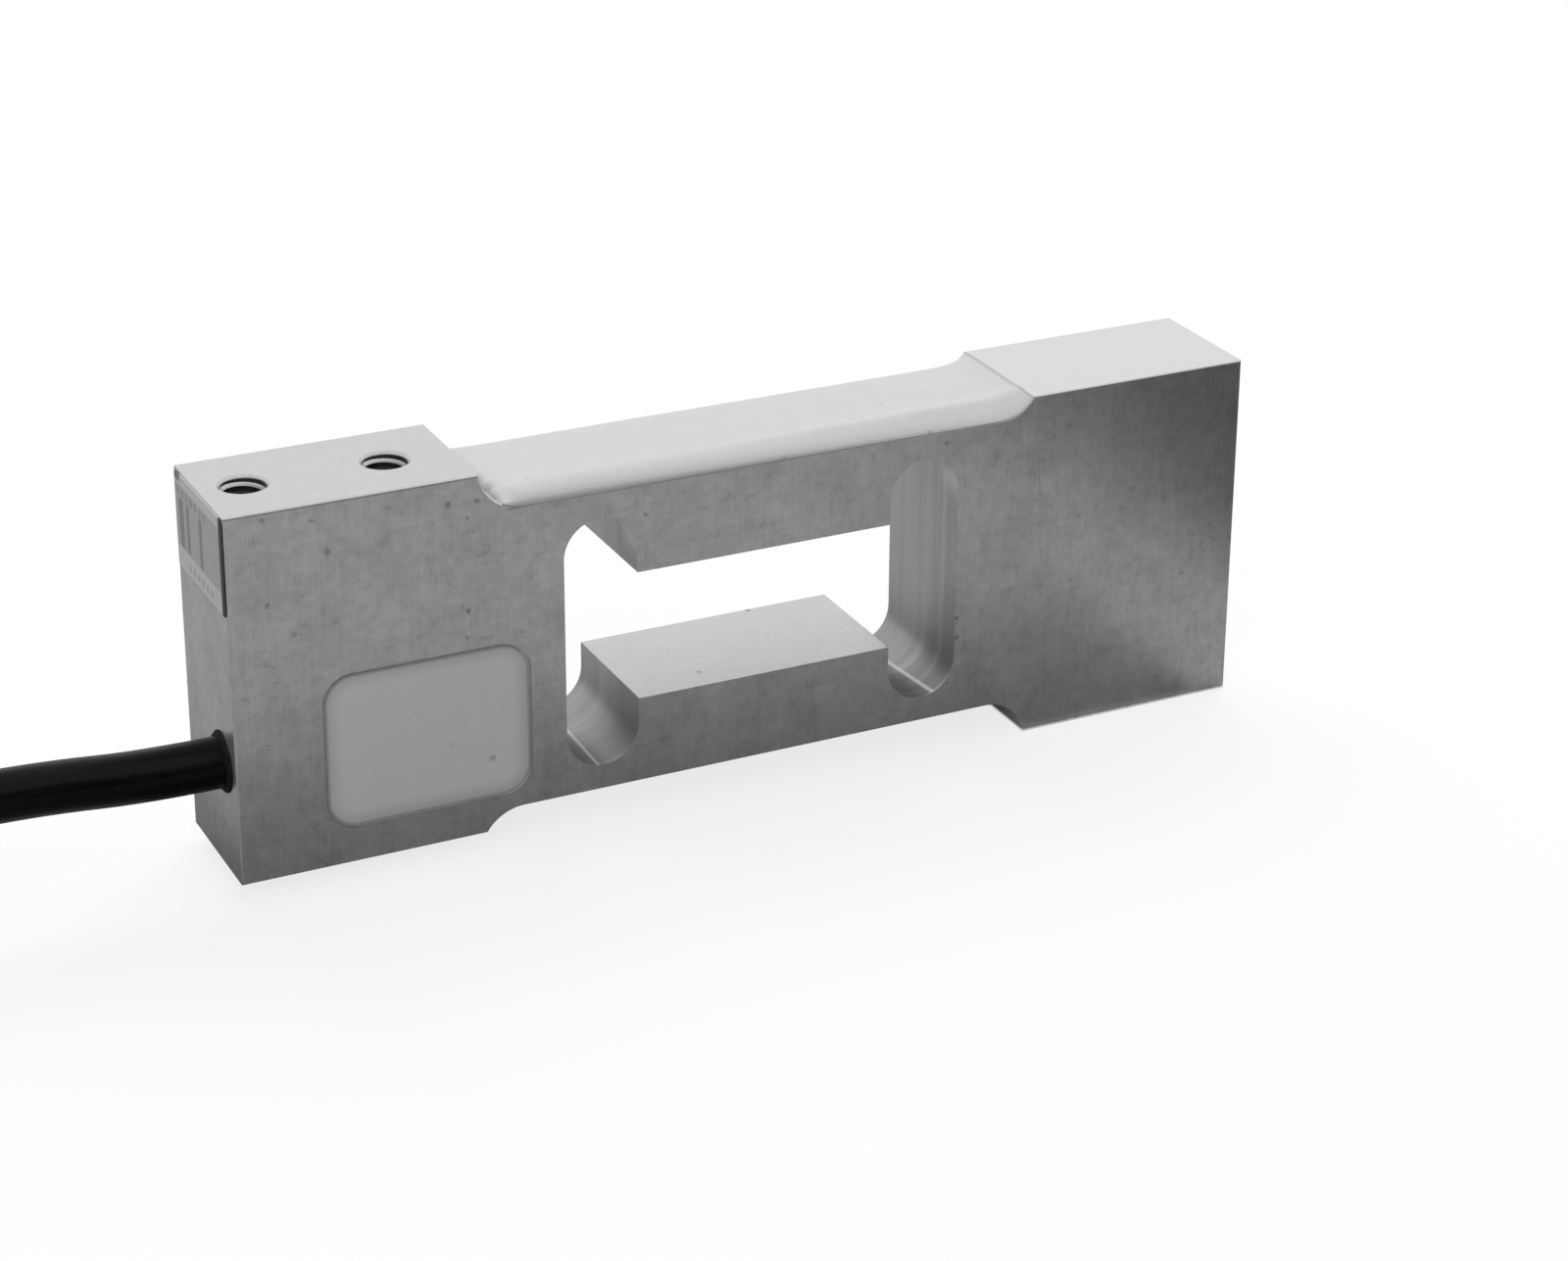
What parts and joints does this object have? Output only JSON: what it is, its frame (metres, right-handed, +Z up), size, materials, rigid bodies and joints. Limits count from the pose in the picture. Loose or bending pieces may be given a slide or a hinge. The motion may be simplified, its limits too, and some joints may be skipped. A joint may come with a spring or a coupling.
{
  "type": "strain gauge load cell",
  "caption": "Single-point strain gauge load cell: milled aluminium beam with a through window, potted side pocket, coated gauges, threaded mounting holes and a black lead.",
  "frame": {"origin": "under the middle of the block, at the level of its lower mounting pad", "axes": "+X from the cable end to the far end, +Y from the pocket face to the back face, +Z up"},
  "size_m": [0.3152, 0.0654, 0.054],
  "materials": {
    "machined_block": "milled aluminium alloy, fine brushed marks",
    "white_silicone": "smooth white silicone sealant",
    "grey_potting": "light grey potting compound, satin",
    "cable_jacket": "smooth black cable jacket",
    "collar_rubber": "black sealing rubber",
    "shrink_tube": "black heat-shrink tube",
    "board_laminate": "green epoxy glass laminate",
    "resistor_ceramic": "black chip resistor",
    "gauge_foil": "amber film with a metal foil grid",
    "terminal_copper": "copper solder terminals",
    "crimp_brass": "brass crimp sleeve",
    "lead_enamel": "enamelled gauge leads",
    "core_red": "red core insulation",
    "core_black": "black core insulation",
    "core_green": "green core insulation",
    "core_white": "white core insulation",
    "drain_metal": "tinned copper drain wire",
    "tie_nylon": "black nylon cable tie",
    "label_film": "satin silver film label"
  },
  "bodies": {
    "root": {"load_cell_body": "machined_block", "top_gauge_coat": "white_silicone", "bottom_gauge_coat": "white_silicone", "pocket_potting": "grey_potting", "compensation_board": "board_laminate", "cable_seal": "collar_rubber", "cable_root": "cable_jacket", "cable_crimp": "crimp_brass", "cable_run": "cable_jacket", "cable_hank": "cable_jacket", "cable_tail": "cable_jacket", "shrink_sleeve": "shrink_tube", "hank_tie_near": "tie_nylon", "hank_tie_far": "tie_nylon", "end_label": "label_film", "shield_drain_wire": "drain_metal", "zero_balance_resistor": "resistor_ceramic", "span_resistor": "resistor_ceramic", "modulus_resistor": "resistor_ceramic", "core_red_inside": "core_red", "flying_lead_red": "core_red", "core_black_inside": "core_black", "flying_lead_black": "core_black", "core_green_inside": "core_green", "flying_lead_green": "core_green", "core_white_inside": "core_white", "flying_lead_white": "core_white", "strain_gauge_top_cable_end": "gauge_foil", "solder_terminal_top_cable_end": "terminal_copper", "gauge_lead_top_cable_end": "lead_enamel", "strain_gauge_top_far_end": "gauge_foil", "solder_terminal_top_far_end": "terminal_copper", "gauge_lead_top_far_end": "lead_enamel", "strain_gauge_bottom_cable_end": "gauge_foil", "solder_terminal_bottom_cable_end": "terminal_copper", "gauge_lead_bottom_cable_end": "lead_enamel", "strain_gauge_bottom_far_end": "gauge_foil", "solder_terminal_bottom_far_end": "terminal_copper", "gauge_lead_bottom_far_end": "lead_enamel"}
  },
  "joints": []
}
